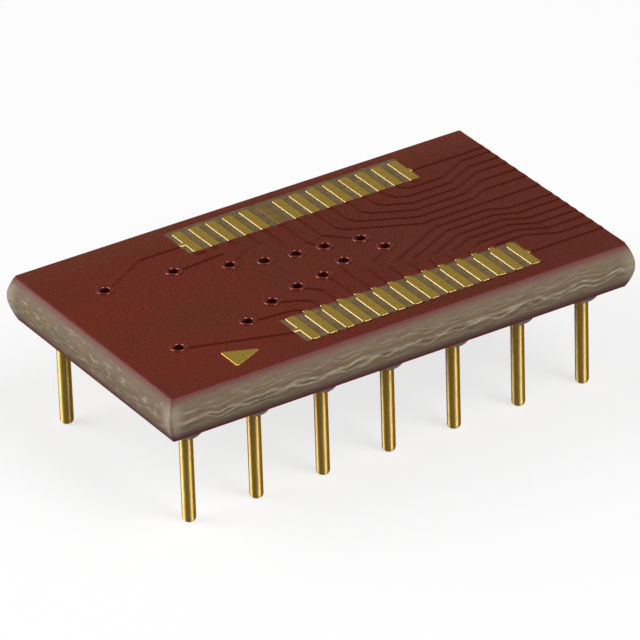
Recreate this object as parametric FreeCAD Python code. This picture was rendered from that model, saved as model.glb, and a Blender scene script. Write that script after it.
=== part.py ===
import FreeCAD, Part
import math
import os

# A socket adapter board: fine-pitch chip lands on top, two rows of round pins underneath.
# Millimetres. The pin tips stand on z = 0, +X runs along the board and -Y is the front,
# where pins 1 to 7 stand. The origin is under the middle of the board.

# Board core, a glass-fibre laminate snapped out of a scored panel
board_length = 17.78
board_width = 10.16
core_thickness = 1.51
score_set_back = 0.21
score_bulge = 0.03
web_thickness = 0.20
web_height = 0.68

# Copper and solder mask on both faces
copper_thickness = 0.05
mask_thickness = 0.042
mask_over_copper = 0.008
mask_corner_radius = 0.05
copper_shift_y = 0.01
mask_shift_x = -0.06
mask_shift_y = 0.12

# Chip lands, two rows on the top face
lands_per_row = 14
land_pitch = 0.65
land_width = 0.36
land_length = 1.66
land_row_spacing = 6.94
first_land_x = -2.90
land_corner = 0.05
land_taper = 0.20
window_side_gap = 0.15
window_outer_gap = 0.13
window_inner_lap = 0.05
window_corner_radius = 0.06

# Traces under the mask, and the raised mask over them
trace_width = 0.18
ridge_foot_width = 0.40
ridge_crown_width = 0.12
ridge_root = 0.005
corner_cut = 0.18
sharpest_turn = 45.0

# Plated through holes
drill_diameter = 0.40
plating_thickness = 0.03
ring_diameter = 0.50
via_mask_gap = 0.01

# Each via of a row: how far it is sideways from the land that it serves, how far from the
# middle line of the board, and how far its trace runs straight out of the land before it
# bends. The first land of a row lets its trace out sideways.
rear_vias = [
    (-3.90, 2.32, 1.97),
    (-2.07, 2.12, 0.35),
    (-1.00, 1.43, 0.49),
    (-0.58, 1.00, 0.66),
    (-0.14, 0.80, 1.19),
    (0.24, 0.70, 1.35),
    (0.84, 0.46, 1.25),
]
front_vias = [
    (-3.91, 2.25, 0.45),
    (-1.86, 2.07, 0.35),
    (-1.18, 1.42, 0.57),
    (-0.63, 1.05, 0.91),
    (-0.19, 0.91, 1.27),
    (0.23, 0.48, 1.84),
    (1.20, 0.45, 1.44),
]

# Traces of the lands that have no via. They run in lanes to the right end, where the panel
# went on. The innermost lane is set from the middle line and the outermost from the lands,
# and each lane steps outwards once more before it leaves.
rear_first_run = 1.25
front_first_run = 1.10
rear_middle_lane = 0.20
front_middle_lane = 0.24
rear_lane_gap = 0.15
front_lane_gap = 0.24
rear_exit_steps = [0.0, 0.30, 0.43, 0.55, 0.56, 0.60]
front_exit_steps = [0.32, 0.34, 0.40, 0.43, 0.46, 0.53]
lane_slope = 0.5
exit_bend_gap = 0.75

# Mark beside the first land, a bare copper triangle that points at the row
mark_to_land = 3.02
mark_length = 1.20
mark_width = 1.07
mark_corner_radius = 0.06
mark_gap = 0.01

# Pins, with a flat head that is soldered to a pad
pins_per_row = 7
pin_pitch = 2.54
pin_row_spacing = 7.62
pin_diameter = 0.46
shank_length = 3.50
tip_rounding = 0.14
head_diameter = 0.95
head_thickness = 0.20

# Pads and solder under the board
pad_diameter = 1.26
pad_mask_gap = 0.05
pad_approach = 0.90
solder_film = 0.045
solder_inset = 0.02
solder_reach = 0.33
solder_flat_width = 0.10
solder_shoulder = 0.12

# Levels
head_bottom = shank_length
head_top = head_bottom + head_thickness
pad_bottom = head_top + solder_film
core_bottom = pad_bottom + copper_thickness
core_top = core_bottom + core_thickness

# Shared outlines and rows
face_length = board_length - 2 * score_set_back
face_width = board_width - 2 * score_set_back
ring_radius = ring_diameter / 2
drill_radius = drill_diameter / 2
hole_radius = drill_radius - plating_thickness
pad_radius = pad_diameter / 2
pin_radius = pin_diameter / 2
FRONT = -1
REAR = 1
TOP = 1
BOTTOM = -1
UP = FreeCAD.Vector(0, 0, 1)


def point(x, y, z=0.0):
    return FreeCAD.Vector(x, y, z)


def rounded_rectangle(length, width, radius, centre):
    """Closed wire of a level rectangle with round corners."""
    edges = []
    reach_x = length / 2 - radius
    reach_y = width / 2 - radius
    signs = [(1, 1), (-1, 1), (-1, -1), (1, -1)]
    arcs = []
    for quarter, (sign_x, sign_y) in enumerate(signs):
        middle = centre + point(sign_x * reach_x, sign_y * reach_y)
        arcs.append(Part.makeCircle(radius, middle, UP, 90 * quarter, 90 * quarter + 90))
    for arc, following in zip(arcs, arcs[1:] + arcs[:1]):
        edges.append(arc)
        edges.append(Part.makeLine(arc.lastVertex().Point, following.firstVertex().Point))
    return Part.Wire(edges)


def prism(wire, height):
    return Part.Face(wire).extrude(point(0, 0, height))


def disc(radius, height, place, level):
    """Round plate on a level, upwards, or downwards for a negative height."""
    way = point(0, 0, math.copysign(1, height))
    return Part.makeCylinder(radius, abs(height), point(place[0], place[1], level), way)


def turned(profile):
    """Solid of a closed half section in the XZ plane, turned about the Z axis."""
    return Part.Face(Part.Wire(profile)).revolve(point(0, 0), UP, 360)


def lines(corners):
    """Straight edges from corner to corner, each given as radius and level."""
    ends = [point(radius, 0, level) for radius, level in corners]
    return [Part.makeLine(a, b) for a, b in zip(ends, ends[1:])]


def eased(route):
    """The route with each turn over the sharpest allowed one cut by a short chord."""
    result = [route[0]]
    for before, corner, after in zip(route, route[1:], route[2:]):
        way_in = point(*corner) - point(*before)
        way_out = point(*after) - point(*corner)
        if math.degrees(way_in.getAngle(way_out)) > sharpest_turn:
            cut = min(corner_cut, way_in.Length / 2, way_out.Length / 2)
            start = point(*corner) - way_in.normalize() * cut
            end = point(*corner) + way_out.normalize() * cut
            result.append((start.x, start.y))
            result.append((end.x, end.y))
        else:
            result.append(corner)
    return result + [route[-1]]


def strip_outline(route, width, level):
    """Closed outline of a strip that follows a route, mitred at its bends."""
    points = [point(x, y, level) for x, y in route]
    ways = [(b - a).normalize() for a, b in zip(points, points[1:])]
    left = []
    right = []
    for index, place in enumerate(points):
        way_in = ways[max(index - 1, 0)]
        way_out = ways[min(index, len(ways) - 1)]
        across = UP.cross(way_in + way_out).normalize()
        reach = width / 2 / across.dot(UP.cross(way_out))
        left.append(place + across * reach)
        right.append(place - across * reach)
    return Part.makePolygon(left + right[::-1] + left[:1])


def strip(route, level, out):
    """Copper trace on a face of the core."""
    return prism(strip_outline(route, trace_width, level), out * copper_thickness)


def land_x(index):
    return first_land_x + index * land_pitch


def row_y(side):
    return side * land_row_spacing / 2 + copper_shift_y


def row_inner_y(side):
    return row_y(side) - side * land_length / 2


def via_places(side):
    """Centres of a row's vias."""
    vias = rear_vias if side == REAR else front_vias
    places = []
    for index, (sideways, outwards, _) in enumerate(vias[:pins_per_row]):
        places.append((land_x(index) + sideways, side * outwards))
    return places


def via_routes(side):
    """Top routes from a row's first lands to their vias."""
    vias = rear_vias if side == REAR else front_vias
    routes = []
    for index, place in enumerate(via_places(side)):
        run = vias[index][2]
        start = (land_x(index), row_y(side))
        if index == 0:
            bend = (land_x(index) - run, row_y(side))
        else:
            bend = (land_x(index), row_inner_y(side) - side * run)
        routes.append(eased([start, bend, place]))
    return routes


def spread(ends, count, index):
    """Value number index of count values spaced evenly between two ends."""
    return ends[0] + (ends[1] - ends[0]) * index / (count - 1)


def edge_routes(side):
    """Top routes from a row's last lands to the right end of the board."""
    first_run = rear_first_run if side == REAR else front_first_run
    middle_lane = rear_middle_lane if side == REAR else front_middle_lane
    lane_gap = rear_lane_gap if side == REAR else front_lane_gap
    exit_steps = rear_exit_steps if side == REAR else front_exit_steps
    count = len(exit_steps)
    last = land_x(lands_per_row - 1)
    end = face_length / 2
    outer_lane = abs(row_inner_y(side)) - lane_gap
    first_bend = abs(row_inner_y(side)) - first_run
    routes = []
    for index, exit_step in enumerate(exit_steps):
        x = land_x(lands_per_row - 1 - count + index)
        lane = spread((middle_lane, outer_lane), count, index)
        bend = spread((first_bend, outer_lane), count, index)
        route = [(x, abs(row_y(side)))]
        if abs(bend - lane) > trace_width:
            route += [(x, bend), (x + abs(bend - lane) / lane_slope, lane)]
        else:
            route += [(x, lane)]
        if exit_step > 0:
            exit_start = last + exit_bend_gap
            exit_end = min(exit_start + exit_step / lane_slope, (exit_start + end) / 2)
            route += [(exit_start, lane), (exit_end, lane + exit_step)]
        route.append((end, lane + exit_step))
        routes.append(eased([(along, side * across) for along, across in route]))
    routes.append([(last, row_y(side)), (end, row_y(side))])
    return routes


def pin_place(number):
    """Pin 1 is at the front left, pin 8 at the rear right, as on a dual in-line socket."""
    index = number - 1
    half_row = (pins_per_row - 1) * pin_pitch / 2
    if index < pins_per_row:
        return (index * pin_pitch - half_row, FRONT * pin_row_spacing / 2)
    return (half_row - (index - pins_per_row) * pin_pitch, REAR * pin_row_spacing / 2)


def bottom_routes():
    """Routes under the board from each via to the pad of its pin."""
    routes = []
    for side in (FRONT, REAR):
        for index, via in enumerate(via_places(side)):
            number = index + 1 if side == FRONT else 2 * pins_per_row - index
            x, y = pin_place(number)
            routes.append(eased([via, (x, y - side * pad_approach), (x, y)]))
    return routes


all_pins = range(1, 2 * pins_per_row + 1)
all_vias = via_places(FRONT) + via_places(REAR)


def window(side):
    """Opening of the top mask over a row of lands. The mask laps over their inner ends."""
    length = (lands_per_row - 1) * land_pitch + land_width + 2 * window_side_gap
    outer = row_y(side) + side * (land_length / 2 + window_outer_gap)
    inner = row_inner_y(side) + side * window_inner_lap
    middle_x = (land_x(0) + land_x(lands_per_row - 1)) / 2 + mask_shift_x
    centre = point(middle_x, (outer + inner) / 2 + mask_shift_y, core_top)
    outline = rounded_rectangle(length, abs(outer - inner), window_corner_radius, centre)
    return prism(outline, 2 * (copper_thickness + mask_thickness))


def snapped_slab(length, width):
    """Slab along Y. Its two sides slope out from the faces, in shallow arcs, to a snapped web."""
    half = length / 2
    face = half - score_set_back
    web = core_bottom + web_height
    side = [(face, core_bottom), (half, web), (half, web + web_thickness), (face, core_top)]
    corners = side + [(-across, level) for across, level in side[::-1]]
    places = [point(across, -width / 2, level) for across, level in corners]
    edges = []
    for index, (start, end) in enumerate(zip(places, places[1:] + places[:1])):
        if index % 2 == 0:
            outwards = point(0, 1).cross(end - start).normalize()
            middle = (start + end) * 0.5 + outwards * score_bulge
            edges.append(Part.Arc(start, middle, end).toShape())
        else:
            edges.append(Part.makeLine(start, end))
    return Part.Face(Part.Wire(edges)).extrude(point(0, width, 0))


def build_core():
    """Laminate with a scored and snapped edge all round, drilled for the vias."""
    across = snapped_slab(board_width, board_length)
    across.rotate(point(0, 0), UP, 90)
    core = snapped_slab(board_length, board_width).common(across)
    drills = [disc(drill_radius, core_thickness, place, core_bottom) for place in all_vias]
    return core.cut(drills).Solids[0]


def land_outline(index, side, growth, level):
    """Outline of a land, or of something wider or narrower all round.

    Its corners are cut. Its inner end tapers to its trace, except on the first land of a row,
    which lets its trace out sideways.
    """
    taper_width = land_corner if index == 0 else (land_width - trace_width) / 2
    taper_length = land_corner if index == 0 else land_taper
    half = land_width / 2 + growth
    outer = row_y(side) + side * (land_length / 2 + growth)
    inner = row_inner_y(side) - side * growth
    half_outline = [
        (half - land_corner, outer),
        (half, outer - side * land_corner),
        (half, inner + side * taper_length),
        (half - taper_width, inner),
    ]
    corners = [point(land_x(index) + reach, y, level) for reach, y in half_outline]
    corners += [point(land_x(index) - reach, y, level) for reach, y in half_outline[::-1]]
    return Part.makePolygon(corners + corners[:1])


def land_body(index, side):
    return prism(land_outline(index, side, 0.0, core_top), copper_thickness)


def build_land(index, side, route):
    """One land, with the start of its trace as far as the window leaves that bare."""
    bare_trace = strip(route, core_top, TOP).common(window(side))
    return land_body(index, side).fuse(bare_trace).removeSplitter().Solids[0]


def build_row(side):
    """Lands of a row, and the traces that go on from them under the mask."""
    routes = via_routes(side) + edge_routes(side)
    rings = [disc(ring_radius, copper_thickness, place, core_top) for place in via_places(side)]
    lands = []
    traces = []
    for index, route in enumerate(routes):
        lands.append(build_land(index, side, route))
        trace = strip(route, core_top, TOP).cut([window(side), land_body(index, side)] + rings)
        traces += trace.Solids
    return lands, traces


def build_via(place):
    """Plated hole: a copper tube with a flat ring on each face of the core."""
    low = core_bottom - copper_thickness
    high = core_top + copper_thickness
    section = [
        (hole_radius, low),
        (ring_radius, low),
        (ring_radius, core_bottom),
        (drill_radius, core_bottom),
        (drill_radius, core_top),
        (ring_radius, core_top),
        (ring_radius, high),
        (hole_radius, high),
        (hole_radius, low),
    ]
    barrel = turned(lines(section))
    barrel.translate(point(*place))
    return barrel


def build_pads():
    pads = []
    for number in all_pins:
        pads.append(disc(pad_radius, -copper_thickness, pin_place(number), core_bottom))
    return pads


def build_bottom_traces():
    rings = [disc(ring_radius, -copper_thickness, place, core_bottom) for place in all_vias]
    traces = []
    for route in bottom_routes():
        trace = strip(route, core_bottom, BOTTOM).cut(rings + build_pads())
        traces += trace.Solids
    return traces


def mark_outline(growth):
    """Triangle that points along +X at the first land of the front row."""
    base = land_x(0) - mark_to_land
    middle = FRONT * pin_row_spacing / 2
    corners = [
        point(base, middle + mark_width / 2, core_top),
        point(base, middle - mark_width / 2, core_top),
        point(base + mark_length, middle, core_top),
    ]
    triangle = Part.makePolygon(corners + corners[:1])
    core = triangle.makeOffset2D(-mark_corner_radius)
    return core.makeOffset2D(mark_corner_radius + growth)


def ridge(route, level, out):
    """Mask that rises over a trace, with sloping flanks. It is rooted in the flat sheet."""
    start = level + out * (mask_thickness - ridge_root)
    crown_level = level + out * (copper_thickness + mask_over_copper)
    foot = strip_outline(route, ridge_foot_width, start)
    crown = strip_outline(route, ridge_crown_width, crown_level)
    return Part.makeLoft([foot, crown], True, True)


def land_ridge(index, side):
    """Mask that rises over the end of a land, where it laps over it."""
    start = core_top + mask_thickness - ridge_root
    crown_level = core_top + copper_thickness + mask_over_copper
    foot = land_outline(index, side, (ridge_foot_width - trace_width) / 2, start)
    crown = land_outline(index, side, (ridge_crown_width - trace_width) / 2, crown_level)
    return Part.makeLoft([foot, crown], True, True)


def ring_ridge(place, level, out):
    """Mask that rises over the ring of a via."""
    start = point(place[0], place[1], level + out * (mask_thickness - ridge_root))
    foot = ring_radius + (ridge_foot_width - trace_width) / 2
    crown = ring_radius + (ridge_crown_width - trace_width) / 2
    height = copper_thickness + mask_over_copper - mask_thickness + ridge_root
    return Part.makeCone(foot, crown, height, start, point(0, 0, out))


def mask_sheet(level, out, routes, openings, land_relief, lands):
    """Solder mask of one face: a thin sheet that rises over the copper it covers."""
    outline = rounded_rectangle(face_length, face_width, mask_corner_radius, point(0, 0, level))
    relief = land_relief + [ridge(route, level, out) for route in routes]
    relief += [ring_ridge(place, level, out) for place in all_vias]
    copper = lands + [strip(route, level, out) for route in routes]
    copper += [disc(ring_radius, out * copper_thickness, place, level) for place in all_vias]
    depth = out * (copper_thickness + mask_over_copper)
    holes = [disc(hole_radius + via_mask_gap, depth, place, level) for place in all_vias]
    raised = prism(outline, out * mask_thickness).fuse(relief)
    return raised.cut(openings).cut(copper).cut(holes).Solids[0]


def build_top_mask():
    routes = []
    land_relief = []
    lands = []
    for side in (FRONT, REAR):
        routes += via_routes(side) + edge_routes(side)
        land_relief += [land_ridge(index, side) for index in range(lands_per_row)]
        lands += [land_body(index, side) for index in range(lands_per_row)]
    openings = [window(FRONT), window(REAR), prism(mark_outline(mark_gap), copper_thickness)]
    return mask_sheet(core_top, TOP, routes, openings, land_relief, lands)


def build_bottom_mask():
    openings = []
    for number in all_pins:
        depth = -2 * (copper_thickness + mask_thickness)
        openings.append(disc(pad_radius + pad_mask_gap, depth, pin_place(number), core_bottom))
    return mask_sheet(core_bottom, BOTTOM, bottom_routes(), openings, [], [])


def build_pin():
    """Round pin with a flat head at its top and a rounded tip."""
    flat = pin_radius - tip_rounding
    slant = tip_rounding * math.sin(math.radians(45))
    tip = Part.Arc(
        point(flat, 0, 0),
        point(flat + slant, 0, tip_rounding - slant),
        point(pin_radius, 0, tip_rounding),
    ).toShape()
    head_radius = head_diameter / 2
    end = lines([(0, 0), (flat, 0)])
    upper = [
        (pin_radius, tip_rounding),
        (pin_radius, head_bottom),
        (head_radius, head_bottom),
        (head_radius, head_top),
        (0, head_top),
        (0, 0),
    ]
    return turned(end + [tip] + lines(upper))


def build_solder():
    """Solder round a pin's head: flat where it meets the pad, domed below the head."""
    outer = pad_radius - solder_inset
    low = head_bottom - solder_reach
    flat = pin_radius + solder_flat_width
    side_level = head_bottom + solder_shoulder
    lean = math.sin(math.radians(45))
    dome = Part.Arc(
        point(flat, 0, low),
        point(flat + (outer - flat) * lean, 0, side_level - (side_level - low) * lean),
        point(outer, 0, side_level),
    ).toShape()
    head_radius = head_diameter / 2
    upper = [
        (outer, side_level),
        (outer, pad_bottom),
        (0, pad_bottom),
        (0, head_top),
        (head_radius, head_top),
        (head_radius, head_bottom),
        (pin_radius, head_bottom),
        (pin_radius, low),
        (flat, low),
    ]
    return turned([dome] + lines(upper))


def placed(shape, number):
    copy = shape.copy()
    x, y = pin_place(number)
    copy.translate(point(x, y))
    return copy


front_lands, front_traces = build_row(FRONT)
rear_lands, rear_traces = build_row(REAR)

nodes = {
    "board_core": [build_core()],
    "top_solder_mask": [build_top_mask()],
    "bottom_solder_mask": [build_bottom_mask()],
    "front_lands": front_lands,
    "rear_lands": rear_lands,
    "front_traces": front_traces,
    "rear_traces": rear_traces,
    "pin_one_mark": [prism(mark_outline(0.0), copper_thickness)],
    "via_barrels": [build_via(place) for place in all_vias],
    "pin_pads": build_pads(),
    "bottom_traces": build_bottom_traces(),
}

pin = build_pin()
solder = build_solder()
for number in all_pins:
    nodes["pin_%02d" % number] = [placed(pin, number)]
    nodes["solder_joint_%02d" % number] = [placed(solder, number)]

os.makedirs("parts", exist_ok=True)
for name, solids in nodes.items():
    shape = solids[0] if len(solids) == 1 else Part.makeCompound(solids)
    shape.exportStep("parts/" + name + ".step")
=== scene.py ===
import bmesh
import bpy
import math
from mathutils import Matrix, Vector, noise


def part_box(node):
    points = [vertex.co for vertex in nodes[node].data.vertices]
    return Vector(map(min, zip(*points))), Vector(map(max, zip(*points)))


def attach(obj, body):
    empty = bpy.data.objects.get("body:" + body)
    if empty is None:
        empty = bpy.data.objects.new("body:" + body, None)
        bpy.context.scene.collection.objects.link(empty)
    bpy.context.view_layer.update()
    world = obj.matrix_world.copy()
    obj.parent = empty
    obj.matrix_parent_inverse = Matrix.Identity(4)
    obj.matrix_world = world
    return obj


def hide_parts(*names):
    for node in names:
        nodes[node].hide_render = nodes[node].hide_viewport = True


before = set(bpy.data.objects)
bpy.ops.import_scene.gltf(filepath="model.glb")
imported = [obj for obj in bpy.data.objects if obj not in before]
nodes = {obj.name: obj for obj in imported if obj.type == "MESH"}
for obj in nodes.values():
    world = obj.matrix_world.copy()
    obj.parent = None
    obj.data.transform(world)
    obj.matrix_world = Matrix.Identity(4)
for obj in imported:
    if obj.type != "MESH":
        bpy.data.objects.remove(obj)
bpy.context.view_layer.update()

# The bare laminate
# Woven glass cloth in epoxy, drilled for the vias and cut from a panel. It shows between the
# lands. Round the edge the next section's torn cloth lies over it.
MM = 0.001


class Finish:
    """A surface finish in the making: nodes are added and wired by their names."""

    def __init__(self, name, **settings):
        self.material = bpy.data.materials.new(name)
        self.material.use_nodes = True
        self.tree = self.material.node_tree
        self.shader = self.tree.nodes["Principled BSDF"]
        for socket, value in settings.items():
            self.shader.inputs[socket.replace("_", " ")].default_value = value
        self.place = self.add("ShaderNodeTexCoord").outputs["Object"]

    def add(self, kind, **inputs):
        node = self.tree.nodes.new(kind)
        for socket, value in inputs.items():
            self.feed(node.inputs[socket.replace("_", " ")], value)
        return node

    def feed(self, socket, value):
        if isinstance(value, bpy.types.NodeSocket):
            self.tree.links.new(value, socket)
        else:
            socket.default_value = value

    def grain(self, per_mm, detail=3.0, roughness=0.55, place=None):
        """Noise with its cells per millimetre along each axis of the place."""
        scale = [cells / MM for cells in per_mm]
        vector = self.add("ShaderNodeMapping", Vector=place or self.place, Scale=scale).outputs["Vector"]
        node = self.add("ShaderNodeTexNoise", Vector=vector, Scale=1.0, Detail=detail, Roughness=roughness)
        return node.outputs["Fac"]

    def band(self, value, low, high, out_low=0.0, out_high=1.0):
        """The value taken from one range to another, smoothly and held at both ends."""
        node = self.add("ShaderNodeMapRange", Value=value)
        node.interpolation_type = "SMOOTHSTEP"
        for index, number in enumerate((low, high, out_low, out_high), 1):
            node.inputs[index].default_value = number
        return node.outputs["Result"]

    def mix(self, share, first, second):
        node = self.tree.nodes.new("ShaderNodeMix")
        node.data_type = "RGBA"
        self.feed(node.inputs[0], share)
        self.feed(node.inputs[6], first)
        self.feed(node.inputs[7], second)
        return node.outputs[2]

    def maths(self, operation, first, second=0.0):
        node = self.tree.nodes.new("ShaderNodeMath")
        node.operation = operation
        self.feed(node.inputs[0], first)
        self.feed(node.inputs[1], second)
        return node.outputs[0]

    def total(self, first, second):
        return self.maths("ADD", first, second)

    def less(self, first, second):
        return self.maths("SUBTRACT", first, second)

    def times(self, first, second):
        return self.maths("MULTIPLY", first, second)

    def size(self, value):
        return self.maths("ABSOLUTE", value)

    def axis(self, letter):
        """One coordinate of the place on the part, in millimetres."""
        parts = self.add("ShaderNodeSeparateXYZ", Vector=self.place)
        return self.times(parts.outputs[letter], 1 / MM)

    def colour(self, value):
        self.feed(self.shader.inputs["Base Color"], value)

    def rough(self, value):
        self.feed(self.shader.inputs["Roughness"], value)

    def relief(self, height, depth_mm):
        """Fine unevenness of the surface, too small to be modelled."""
        bump = self.add("ShaderNodeBump", Height=height, Distance=depth_mm * MM)
        self.feed(self.shader.inputs["Normal"], bump.outputs["Normal"])


def tone(red, green, blue):
    """A colour given on the 0 to 255 scale of a colour card."""
    linear = []
    for value in (red, green, blue):
        share = value / 255
        linear.append(share / 12.92 if share <= 0.04045 else ((share + 0.055) / 1.055) ** 2.4)
    return (*linear, 1.0)


def dress(piece, finish):
    piece.data.materials.clear()
    piece.data.materials.append(finish.material)


laminate = Finish("glass_epoxy", Roughness=0.6)
weave = laminate.grain((3.0, 3.0, 6.0), detail=4.0)
fleck = laminate.grain((16.0, 16.0, 16.0), detail=2.0)
cloth = laminate.mix(laminate.band(weave, 0.38, 0.64), tone(99, 81, 53), tone(118, 97, 66))
laminate.colour(laminate.mix(laminate.band(fleck, 0.42, 0.66, 0.0, 0.4), cloth, tone(134, 116, 88)))
laminate.relief(fleck, 0.006)
dress(nodes["board_core"], laminate)

# The snapped edge
# The torn section of the glass cloth, a thin skin on the core where the panel was scored from
# both faces and broken. Pale yarns cross in waves, with amber resin in the gaps between them.
board_low, board_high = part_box("board_core")
face_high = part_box("top_solder_mask")[1]
tolerance = 0.001 * MM
snap_step = 0.06 * MM
snap_rows = 26
snap_proud = 0.003 * MM
snap_roughness = 0.010 * MM
snap_root = 0.03 * MM
tear_along = 3.0
tear_up = 14.0
fine_tear = 12.0
fine_tear_share = 0.5
slope_bulge = 0.03 * MM
corner_ease = 0.12 * MM
crossing_step = 1.55
layer_phase = 9
wave_drift = 7.0
strand_share = 0.4
# Each layer of yarns has its level, the swing of its waves, half a yarn's width, all in
# millimetres, and how strongly it shows.
yarn_layers = [(0.66, 0.10, 0.10, 0.85), (1.02, 0.07, 0.07, 0.22), (0.36, 0.05, 0.06, 0.30)]
core_points = nodes["board_core"].data.vertices
web_levels = [point.co.z for point in core_points if point.co.x > board_high.x - tolerance]
web_low, web_high = min(web_levels), max(web_levels)


def edge_reach(level):
    """How far the edge stands out from the faces of the board at a level."""
    set_back = board_high.x - face_high.x
    if level < web_low:
        share = (level - board_low.z) / (web_low - board_low.z)
    elif level > web_high:
        share = (board_high.z - level) / (board_high.z - web_high)
    else:
        return set_back
    return set_back * share + slope_bulge * 4 * share * (1 - share)


def edge_column(snap, way_x, way_y):
    """A loop of points up the edge and back inside it, at a place on the board's outline."""
    column = []
    for row in range(snap_rows + 1):
        level = board_low.z + (board_high.z - board_low.z) * row / snap_rows
        spot = Vector((way_x * face_high.x, way_y * face_high.y, level)) / MM
        tear = noise.noise(Vector((spot.x * tear_along, spot.y * tear_along, spot.z * tear_up)))
        tear += fine_tear_share * noise.noise(spot * fine_tear)
        reach = edge_reach(level) + snap_proud + snap_roughness * max(tear, 0.0)
        place = (way_x * (face_high.x + reach), way_y * (face_high.y + reach), level)
        column.append(snap.verts.new(place))
    for level in (board_high.z - snap_root / 3, board_low.z + snap_root / 3):
        place = (way_x * (face_high.x - snap_root), way_y * (face_high.y - snap_root), level)
        column.append(snap.verts.new(place))
    return column


def meshed(name, solid):
    """A mesh with the faces that were built in a bmesh."""
    mesh = bpy.data.meshes.new(name)
    solid.to_mesh(mesh)
    solid.free()
    return mesh


def placed(name, data):
    """A new object in the scene."""
    thing = bpy.data.objects.new(name, data)
    bpy.context.scene.collection.objects.link(thing)
    return thing


snap = bmesh.new()
run_layer = snap.loops.layers.uv.new("along_and_up")
corners = [(1, 1), (-1, 1), (-1, -1), (1, -1)]
columns = []
travelled = 0.0
for first, second in zip(corners, corners[1:] + corners[:1]):
    length = abs(second[0] - first[0]) * face_high.x + abs(second[1] - first[1]) * face_high.y
    straight = length - 2 * corner_ease
    steps = round(straight / snap_step)
    stops = [0.0] + [corner_ease + straight * step / steps for step in range(steps + 1)]
    for stop in stops:
        share = stop / length
        way_x = first[0] + (second[0] - first[0]) * share
        way_y = first[1] + (second[1] - first[1]) * share
        columns.append((travelled + stop, edge_column(snap, way_x, way_y)))
    travelled += length
columns.append((travelled, columns[0][1]))
for (run, column), (next_run, following) in zip(columns, columns[1:]):
    for row in range(len(column)):
        above = (row + 1) % len(column)
        face = snap.faces.new((column[row], following[row], following[above], column[above]))
        face.smooth = True
        for loop, loop_run in zip(face.loops, (run, next_run, next_run, run)):
            loop[run_layer].uv = (loop_run / MM, (loop.vert.co.z - board_low.z) / MM)
bmesh.ops.recalc_face_normals(snap, faces=snap.faces)
snapped_edge = placed("snapped_edge", meshed("snapped_edge", snap))

section = Finish("cloth_section", Roughness=0.62)
run_and_level = section.add("ShaderNodeUVMap").outputs["UV"]
edge_parts = section.add("ShaderNodeSeparateXYZ", Vector=run_and_level)
along_edge = edge_parts.outputs["X"]
up_edge = edge_parts.outputs["Y"]


def edge_grain(per_mm_along, per_mm_up, detail):
    """Noise in the plane of the edge, which is laid out in millimetres already."""
    return section.grain((per_mm_along * MM, per_mm_up * MM, 0), detail=detail, place=run_and_level)


fibre = edge_grain(1.5, 14.0, detail=3.0)
crumb = edge_grain(11.0, 13.0, detail=2.0)
patch = edge_grain(0.9, 2.0, detail=2.0)
drift = edge_grain(0.45, 0.5, detail=1.0)
chip = edge_grain(2.2, 6.0, detail=3.0)
grit = edge_grain(26.0, 22.0, detail=2.0)
sag = section.times(section.less(edge_grain(1.1, 0.9, detail=1.2), 0.5), 0.50)
at_end = section.band(section.size(section.axis("X")), 8.25, 8.75)
at_side = section.band(section.size(section.axis("Y")), 4.40, 4.95)
amber = tone(136, 114, 78)
gap_shade = tone(114, 92, 56)
yarn_tone = tone(198, 184, 160)
strand_tone = tone(228, 217, 198)
body = section.mix(section.band(fibre, 0.35, 0.65), tone(124, 104, 80), tone(149, 129, 104))
body = section.mix(section.band(patch, 0.40, 0.60, 0.0, 0.65), body, amber)
for height, swing, half_width, strength in yarn_layers:
    rise = section.total(section.less(up_edge, height), sag)
    turn = section.total(section.times(along_edge, math.pi / crossing_step), height * layer_phase)
    turn = section.total(turn, section.times(drift, wave_drift))
    wave = section.times(section.maths("SINE", turn), swing)
    gap = section.less(section.size(rise), section.size(wave))
    body = section.mix(section.band(gap, -0.05, 0.01, 0.9 * strength, 0.0), body, gap_shade)
    for offset in (section.total(rise, wave), section.less(rise, wave)):
        aside = section.size(offset)
        yarn = section.band(aside, 0.0, half_width, strength, 0.0)
        yarn = section.times(yarn, section.band(patch, 0.35, 0.65, 0.35, 1.0))
        yarn = section.times(yarn, section.band(fibre, 0.3, 0.6, 0.6, 1.0))
        body = section.mix(yarn, body, yarn_tone)
        strand = section.band(aside, 0.0, half_width * strand_share, strength, 0.0)
        strand = section.times(strand, section.band(fibre, 0.45, 0.60))
        body = section.mix(section.times(strand, 0.6), body, strand_tone)

# The ends were broken across the yarns: they are blotched, with pale chips, and the board's corners are
# frayed.
# The corners are painted pale, partly the frayed cloth and partly a painted light over the crease where
# the two faces meet. Dark grit lies over all of the edge.
blotch = section.mix(section.band(patch, 0.40, 0.60), tone(116, 98, 80), tone(126, 104, 72))
body = section.mix(section.times(at_end, 0.75), body, blotch)
chips = section.times(section.band(chip, 0.52, 0.70, 0.0, 0.75), at_end)
body = section.mix(chips, body, tone(184, 170, 148))
# Pale corners: frayed cloth, and painted light over the crease of the corner.
frayed_and_painted_light = section.times(section.times(at_end, at_side), 0.6)
body = section.mix(frayed_and_painted_light, body, tone(192, 178, 156))
body = section.mix(section.band(grit, 0.42, 0.58, 0.0, 0.30), body, tone(96, 78, 58))

# Towards both faces the section is darker: the upper slope is painted a pinkish haze, a painted
# reflection, and the lower slope, which faces down, is painted darker, a painted shade.
# The mask tints its rims red. The borders of these tones are ragged.
ragged = section.total(up_edge, section.times(crumb, 0.12))
painted_upper_haze = section.mix(at_end, tone(132, 102, 86), tone(120, 92, 74))
# Painted reflection: a pinkish haze on the upper slope.
body = section.mix(section.band(ragged, 1.05, 1.50, 0.0, 0.8), body, painted_upper_haze)
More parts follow.
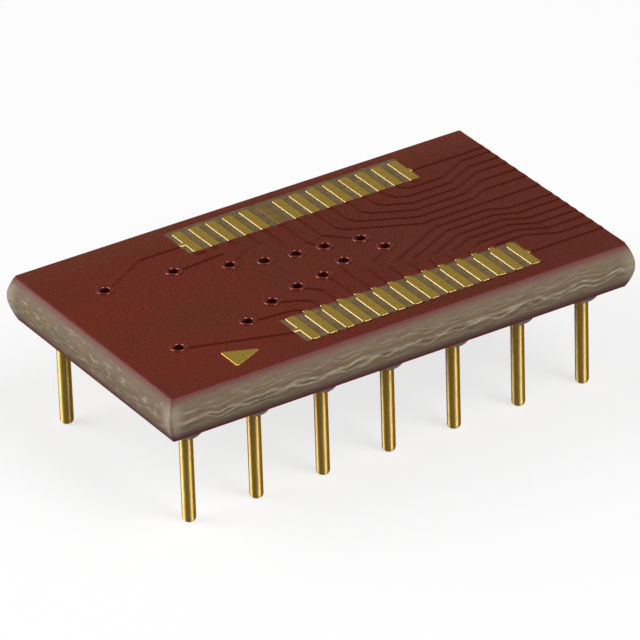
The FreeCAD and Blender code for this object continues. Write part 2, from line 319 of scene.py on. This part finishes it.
# Painted shade: the lower slope, which faces down, is painted darker.
body = section.mix(section.band(ragged, 0.12, 0.52, 0.75, 0.0), body, tone(106, 82, 74))
body = section.mix(section.band(ragged, 1.30, 1.60, 0.0, 0.95), body, tone(114, 38, 36))
body = section.mix(section.band(ragged, 0.06, 0.32, 0.8, 0.0), body, tone(100, 50, 54))
section.colour(body)
section.relief(fibre, 0.010)
dress(snapped_edge, section)
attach(snapped_edge, "root")

# The solder mask
# A brownish red epoxy coat, cured on both faces. It lies over the copper in low ridges, and
# the windows over the lands were left open when it was exposed.
mask = Finish("red_solder_mask", Roughness=0.30, Specular_IOR_Level=0.3)
cloud = mask.grain((0.18, 0.25, 0.2), detail=2.0)
speck = mask.grain((17.0, 17.0, 17.0), detail=2.0, roughness=0.6)
to_right = mask.band(mask.axis("X"), -9.0, 3.0)
painted_rear_sheen = mask.band(mask.axis("Y"), 3.2, 5.0, 0.0, 0.6)
coat = mask.mix(to_right, tone(127, 40, 13), tone(113, 36, 10))
coat = mask.mix(mask.band(cloud, 0.40, 0.65, 0.0, 0.5), coat, tone(106, 42, 17))
# Towards the rear edge the coat is painted lighter and paler, a painted sheen of reflected light.
coat = mask.mix(painted_rear_sheen, coat, tone(128, 56, 28))
speck_tone = mask.mix(0.6, coat, tone(40, 8, 2))
coat = mask.mix(mask.band(speck, 0.40, 0.60), coat, speck_tone)

# The coat is painted darker on the flanks of the ridges that face the front and the left end, a painted
# shade. Its upright rims are painted a lighter crimson, a painted light.
left_weight = 0.6
normal = mask.add("ShaderNodeNewGeometry").outputs["True Normal"]
facing = mask.add("ShaderNodeSeparateXYZ", Vector=normal).outputs
lean = mask.total(mask.times(facing["X"], left_weight), facing["Y"])
# Painted shade on the ridge flanks that face the front and the left end.
painted_flank_shade = mask.times(mask.band(lean, -0.14, -0.03, 0.75, 0.0), mask.band(facing["Z"], 0.6, 0.9))
coat = mask.mix(painted_flank_shade, coat, tone(72, 16, 4))
# Painted light: the upright rims of the coat are painted a lighter crimson.
painted_rim_light = mask.band(mask.size(facing["Z"]), 0.2, 0.6, 0.8, 0.0)
mask.colour(mask.mix(painted_rim_light, coat, tone(136, 44, 46)))
mask.relief(speck, 0.0012)
for name in ("top_solder_mask", "bottom_solder_mask"):
    dress(nodes[name], mask)

# The copper under the mask
# Etched foil. Only its height shows from outside, as the ridges of the mask.
copper = Finish("etched_copper", Roughness=0.4, Metallic=1.0)
stain = copper.grain((3.0, 3.0, 3.0))
copper.colour(copper.mix(stain, tone(196, 120, 84), tone(150, 84, 60)))
for name in ("front_traces", "rear_traces", "bottom_traces", "pin_pads"):
    dress(nodes[name], copper)

# The plated holes
# Copper tubes through the board, with a thin bright plating on the wall.
plating = Finish("hole_plating", Roughness=0.3, Metallic=1.0)
bath_mark = plating.grain((9.0, 9.0, 9.0))
plating.colour(plating.mix(bath_mark, tone(190, 130, 120), tone(120, 70, 62)))
dress(nodes["via_barrels"], plating)

# The coated lips of the holes
# The mask runs over the ring of each hole and a little way down its wall, so that the rim is
# round and glossy. It is thin over the ring's edge and on the rim, and copper shows through.
bead_outer = 0.292 * MM
bead_inner = 0.262 * MM
bead_height = 0.006 * MM
bead_rows = 5
lip_proud = 0.016 * MM
lip_inner = 0.168 * MM
lip_thickness = 0.01 * MM
lip_round = 0.055 * MM
lip_round_rows = 8
lip_depth = 0.45 * MM
lip_segments = 40
lip_coat = Finish("glossy_mask_lip", Roughness=0.28, Specular_IOR_Level=0.3)
lip_tone = lip_coat.mix(lip_coat.grain((12.0, 12.0, 12.0)), tone(112, 34, 16), tone(94, 28, 12))
# Painted shade: lower down the hole the lip is painted near black, fading to the coat's tone at the rim.
painted_shade_fade = lip_coat.band(lip_coat.axis("Z"), 5.22, 5.36)
lip_coat.colour(lip_coat.mix(painted_shade_fade, tone(34, 9, 6), lip_tone))
thin_coat = Finish("thin_mask_over_copper", Roughness=0.26, Metallic=0.85)
thin_grain = thin_coat.grain((12.0, 12.0, 12.0))
thin_coat.colour(thin_coat.mix(thin_grain, tone(196, 116, 106), tone(172, 96, 88)))


def joined(node):
    """A copy of a node's mesh, with the faces joined along their shared edges."""
    solid = bmesh.new()
    solid.from_mesh(nodes[node].data)
    bmesh.ops.remove_doubles(solid, verts=solid.verts, dist=tolerance / 2)
    return solid


def island_boxes(node):
    """Lowest and highest corner of each separate solid of a node."""
    solid = joined(node)
    waiting = set(solid.verts)
    boxes = []
    while waiting:
        reached = [waiting.pop()]
        for vert in reached:
            for edge in vert.link_edges:
                other = edge.other_vert(vert)
                if other in waiting:
                    waiting.remove(other)
                    reached.append(other)
        low = Vector([min(vert.co[axis] for vert in reached) for axis in range(3)])
        high = Vector([max(vert.co[axis] for vert in reached) for axis in range(3)])
        boxes.append((low, high))
    solid.free()
    return boxes


def turned(name, profile, segments):
    """Closed ring turned about the Z axis from a closed profile of radius and level."""
    ring = bmesh.new()
    rows = []
    for segment in range(segments):
        angle = math.tau * segment / segments
        rows.append([ring.verts.new((r * math.cos(angle), r * math.sin(angle), z)) for r, z in profile])
    for row, following in zip(rows, rows[1:] + rows[:1]):
        for place in range(len(profile)):
            above = (place + 1) % len(profile)
            face = ring.faces.new((row[place], following[place], following[above], row[above]))
            face.smooth = True
    bmesh.ops.recalc_face_normals(ring, faces=ring.faces)
    return meshed(name, ring)


crown = face_high.z + lip_proud
bead_middle = (bead_outer + bead_inner) / 2
bead_half = (bead_outer - bead_inner) / 2
lip_profile = [(bead_outer, crown - 2 * lip_proud)]
for step in range(bead_rows):
    angle = math.pi * step / (bead_rows - 1)
    bead_rise = bead_height * math.sin(angle) - lip_proud / 2
    lip_profile.append((bead_middle + bead_half * math.cos(angle), crown + bead_rise))
round_middle = lip_inner + lip_round
lip_profile.append((round_middle, crown))
for step in range(1, lip_round_rows + 1):
    angle = math.radians(90 + 90 * step / lip_round_rows)
    level = crown - lip_round + lip_round * math.sin(angle)
    lip_profile.append((round_middle + lip_round * math.cos(angle), level))
lip_profile.append((lip_inner, crown - lip_depth))
lip_profile.append((lip_inner + lip_thickness, crown - lip_depth))
lip_profile.append((lip_inner + lip_thickness, crown - lip_round))
lip_mesh = turned("hole_lip", lip_profile, lip_segments)
barrels_from_left = sorted(island_boxes("via_barrels"), key=lambda box: tuple(box[0]))
for number, (low, high) in enumerate(barrels_from_left, 1):
    lip = placed("hole_lip_%02d" % number, lip_mesh.copy())
    dress(lip, lip_coat)
    lip.data.materials.append(thin_coat.material)
    for face in lip.data.polygons:
        out_from_hole = Vector(face.center).xy.length
        rounding = out_from_hole < lip_inner + lip_round / 2 and face.center.z > crown - lip_round
        if out_from_hole > bead_inner or rounding:
            face.material_index = 1
    centre = (low + high) / 2
    lip.data.transform(Matrix.Translation((centre.x, centre.y, 0)))
    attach(lip, "root")

# The lands and the mark
# Gold plated copper, bare in the windows of the mask. Etching left its walls sloping, and one
# land of the rear row has tarnished.
wall_slope = 0.013 * MM
flat_angle = 0.01
sharp_angle = 1.0
level_normal = 0.95
tarnished_land = 5
land_gold = Finish("land_gold", Roughness=0.5, Metallic=1.0)
pit = land_gold.grain((18.0, 18.0, 18.0), detail=2.0, roughness=0.6)
land_gold.colour(land_gold.mix(land_gold.band(pit, 0.32, 0.68), tone(236, 190, 84), tone(255, 224, 110)))
land_gold.relief(pit, 0.002)
# The walls get a paler gold than the tops, a painted highlight tint so that their reflections read cream.
highlight_pale_wall_gold = Finish("land_wall_highlight_gold", Roughness=0.30, Metallic=1.0)
wall_grain = highlight_pale_wall_gold.grain((10.0, 10.0, 10.0))
highlight_pale_wall_gold.colour(highlight_pale_wall_gold.mix(wall_grain, tone(222, 192, 120), tone(238, 214, 156)))
tarnish = Finish("tarnished_gold", Roughness=0.6, Metallic=0.35)
bloom = tarnish.grain((4.0, 4.0, 4.0))
tarnish.colour(tarnish.mix(bloom, tone(118, 92, 48), tone(152, 120, 58)))


def etched(node, name, wall):
    """A copy of a node with sloping walls, in place of the node."""
    solid = joined(node)
    bmesh.ops.dissolve_limit(solid, angle_limit=flat_angle, verts=solid.verts, edges=solid.edges)
    top = max(vert.co.z for vert in solid.verts) - tolerance
    rim_edges = [
        edge for edge in solid.edges
        if min(vert.co.z for vert in edge.verts) > top and edge.calc_face_angle(0.0) > sharp_angle
    ]
    bmesh.ops.bevel(solid, geom=rim_edges, offset=wall_slope, segments=1, affect="EDGES")
    piece = placed(name, meshed(name, solid))
    dress(piece, land_gold)
    piece.data.materials.append(wall.material)
    for face in piece.data.polygons:
        face.material_index = int(abs(face.normal.z) < level_normal)
    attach(piece, "root")
    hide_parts(node)
    return piece


etched("front_lands", "front_land_row", highlight_pale_wall_gold)
rear_land_row = etched("rear_lands", "rear_land_row", highlight_pale_wall_gold)
etched("pin_one_mark", "pin_one_triangle", land_gold)
rear_boxes = sorted(island_boxes("rear_lands"), key=lambda box: box[0].x + box[1].x)
tarnished_low, tarnished_high = rear_boxes[tarnished_land]
rear_land_row.data.materials.append(tarnish.material)
for face in rear_land_row.data.polygons:
    if tarnished_low.x - tolerance <= face.center.x <= tarnished_high.x + tolerance:
        face.material_index = 2

# The pins
# Round gold plated pins, each with its head soldered to a pad. Their polish runs round them,
# so it blurs light along their length.
pin_count = sum(name.startswith("pin_") and name[4:].isdigit() for name in nodes)
pin_gold = Finish("pin_gold", Metallic=1.0, Anisotropic=0.95, Anisotropic_Rotation=0.25)
scratch = pin_gold.grain((24.0, 24.0, 2.0), detail=2.0)
pin_gold.colour(pin_gold.mix(scratch, tone(246, 198, 98), tone(255, 222, 132)))
pin_gold.rough(pin_gold.band(scratch, 0.3, 0.7, 0.42, 0.52))
around = pin_gold.add("ShaderNodeTangent")
around.direction_type = "RADIAL"
around.axis = "Z"
pin_gold.feed(pin_gold.shader.inputs["Tangent"], around.outputs["Tangent"])
for number in range(1, pin_count + 1):
    dress(nodes["pin_%02d" % number], pin_gold)

# The solder joints
# Tin solder that wetted each pad and the head of its pin and froze as a low dome.
solder = Finish("solder", Metallic=1.0)
dross = solder.grain((5.0, 5.0, 5.0))
solder.colour(solder.mix(dross, tone(184, 182, 178), tone(216, 214, 208)))
solder.rough(solder.band(dross, 0.3, 0.7, 0.34, 0.46))
for number in range(1, pin_count + 1):
    dress(nodes["solder_joint_%02d" % number], solder)

# The table and the light
# A pale sweep with a broad soft light from each side, and two low ones that reach the pins.
# To the camera the floor glows besides, and polished faces mirror it as an even grey.
floor_reach = 3.0
floor_corners = [
    (-floor_reach, -floor_reach, 0), (floor_reach, -floor_reach, 0),
    (floor_reach, floor_reach, 0), (-floor_reach, floor_reach, 0),
]
floor_mesh = bpy.data.meshes.new("floor")
floor_mesh.from_pydata(floor_corners, [], [(0, 1, 2, 3)])
floor = placed("floor", floor_mesh)
floor_finish = bpy.data.materials.new("pale_floor")
floor_finish.use_nodes = True
floor_tree = floor_finish.node_tree
floor_tree.nodes.clear()
floor_rays = floor_tree.nodes.new("ShaderNodeLightPath")
matt = floor_tree.nodes.new("ShaderNodeBsdfDiffuse")
matt.inputs["Color"].default_value = (0.30, 0.30, 0.30, 1)
glow = floor_tree.nodes.new("ShaderNodeEmission")
glow.inputs["Strength"].default_value = 0.72
mirrored = floor_tree.nodes.new("ShaderNodeEmission")
mirrored.inputs["Strength"].default_value = 0.17
seen_glow = floor_tree.nodes.new("ShaderNodeMixShader")
lit_floor = floor_tree.nodes.new("ShaderNodeAddShader")
floor_choice = floor_tree.nodes.new("ShaderNodeMixShader")
floor_out = floor_tree.nodes.new("ShaderNodeOutputMaterial")
floor_tree.links.new(floor_rays.outputs["Is Camera Ray"], seen_glow.inputs["Fac"])
floor_tree.links.new(glow.outputs[0], seen_glow.inputs[2])
floor_tree.links.new(matt.outputs[0], lit_floor.inputs[0])
floor_tree.links.new(seen_glow.outputs[0], lit_floor.inputs[1])
floor_tree.links.new(floor_rays.outputs["Is Glossy Ray"], floor_choice.inputs["Fac"])
floor_tree.links.new(lit_floor.outputs[0], floor_choice.inputs[1])
floor_tree.links.new(mirrored.outputs[0], floor_choice.inputs[2])
floor_tree.links.new(floor_choice.outputs[0], floor_out.inputs["Surface"])
floor_mesh.materials.append(floor_finish)

# The room's brightness by the sine of the elevation. Its brightest belt is what the level
# faces mirror towards the camera, and the camera itself sees an even pale backdrop.
brightness_by_height = [(0.0, 0.10), (0.25, 0.12), (0.40, 0.29), (0.55, 0.26), (0.66, 0.05), (1.0, 0.03)]
world = bpy.data.worlds.new("studio")
bpy.context.scene.world = world
world.use_nodes = True
world_tree = world.node_tree
world_tree.nodes.clear()
world_rays = world_tree.nodes.new("ShaderNodeLightPath")
direction = world_tree.nodes.new("ShaderNodeTexCoord")
direction_parts = world_tree.nodes.new("ShaderNodeSeparateXYZ")
fade = world_tree.nodes.new("ShaderNodeValToRGB")
ramp = fade.color_ramp.elements
for position, brightness in brightness_by_height[1:-1]:
    ramp.new(position)
for stop, (position, brightness) in zip(ramp, brightness_by_height):
    stop.position = position
    stop.color = (brightness, brightness, brightness, 1)
ambient = world_tree.nodes.new("ShaderNodeBackground")
ambient.inputs["Color"].default_value = (1, 1, 1, 1)
backdrop = world_tree.nodes.new("ShaderNodeBackground")
backdrop.inputs["Color"].default_value = (0.97, 0.97, 0.97, 1)
world_choice = world_tree.nodes.new("ShaderNodeMixShader")
world_out = world_tree.nodes.new("ShaderNodeOutputWorld")
world_tree.links.new(direction.outputs["Generated"], direction_parts.inputs[0])
world_tree.links.new(direction_parts.outputs["Z"], fade.inputs["Fac"])
world_tree.links.new(fade.outputs["Color"], ambient.inputs["Strength"])
world_tree.links.new(world_rays.outputs["Is Camera Ray"], world_choice.inputs["Fac"])
world_tree.links.new(ambient.outputs[0], world_choice.inputs[1])
world_tree.links.new(backdrop.outputs[0], world_choice.inputs[2])
world_tree.links.new(world_choice.outputs[0], world_out.inputs["Surface"])

light_distance = 0.25
board_middle = (board_low + board_high) / 2


def soft_light(name, bearing, elevation, width, height, power):
    """A soft light that faces the board, from a bearing counted from +X towards +Y."""
    lamp = bpy.data.lights.new(name, "AREA")
    lamp.shape = "RECTANGLE"
    lamp.size = width
    lamp.size_y = height
    lamp.energy = power
    bearing, elevation = math.radians(bearing), math.radians(elevation)
    run = math.cos(elevation)
    way = Vector((run * math.cos(bearing), run * math.sin(bearing), math.sin(elevation)))
    light = placed(name, lamp)
    light.location = board_middle + way * light_distance
    light.rotation_euler = way.to_track_quat("Z", "Y").to_euler()


soft_light("left_light", bearing=148, elevation=30, width=0.22, height=0.24, power=0.54)
soft_light("right_light", bearing=-68, elevation=45, width=0.14, height=0.24, power=0.42)
soft_light("low_left_light", bearing=150, elevation=5, width=0.12, height=0.04, power=0.17)
soft_light("low_right_light", bearing=-74, elevation=6, width=0.07, height=0.04, power=0.08)

# The camera
# A long lens at the photograph's viewing angle, in front of the left end and above. Its
# bearing is counted from straight in front, -Y, towards +X.
camera_bearing = math.radians(-31.826)
camera_elevation = math.radians(29.329)
camera_roll = math.radians(-1.855)
camera_distance = 0.21379
aim_right = -0.000106
aim_up = 0.002664
board_shift = Vector((-0.00003, 0.000086, 0))
level_run = math.cos(camera_elevation)
back_x = math.sin(camera_bearing) * level_run
back_y = -math.cos(camera_bearing) * level_run
back = Vector((back_x, back_y, math.sin(camera_elevation)))
right = Vector((math.cos(camera_bearing), math.sin(camera_bearing), 0))
up = back.cross(right)
tilted_right = math.cos(camera_roll) * right + math.sin(camera_roll) * up
tilted_up = math.cos(camera_roll) * up - math.sin(camera_roll) * right
camera_turn = Matrix((tilted_right, tilted_up, back)).transposed().to_4x4()
camera_place = tilted_right * aim_right + tilted_up * aim_up + back * camera_distance + board_shift
lens = bpy.data.cameras.new("camera")
lens.sensor_width = 36
lens.lens = 365.58
lens.clip_start = 0.01
camera = placed("camera", lens)
camera.matrix_world = Matrix.Translation(camera_place) @ camera_turn
bpy.context.scene.camera = camera

bpy.context.scene.view_settings.view_transform = "Standard"
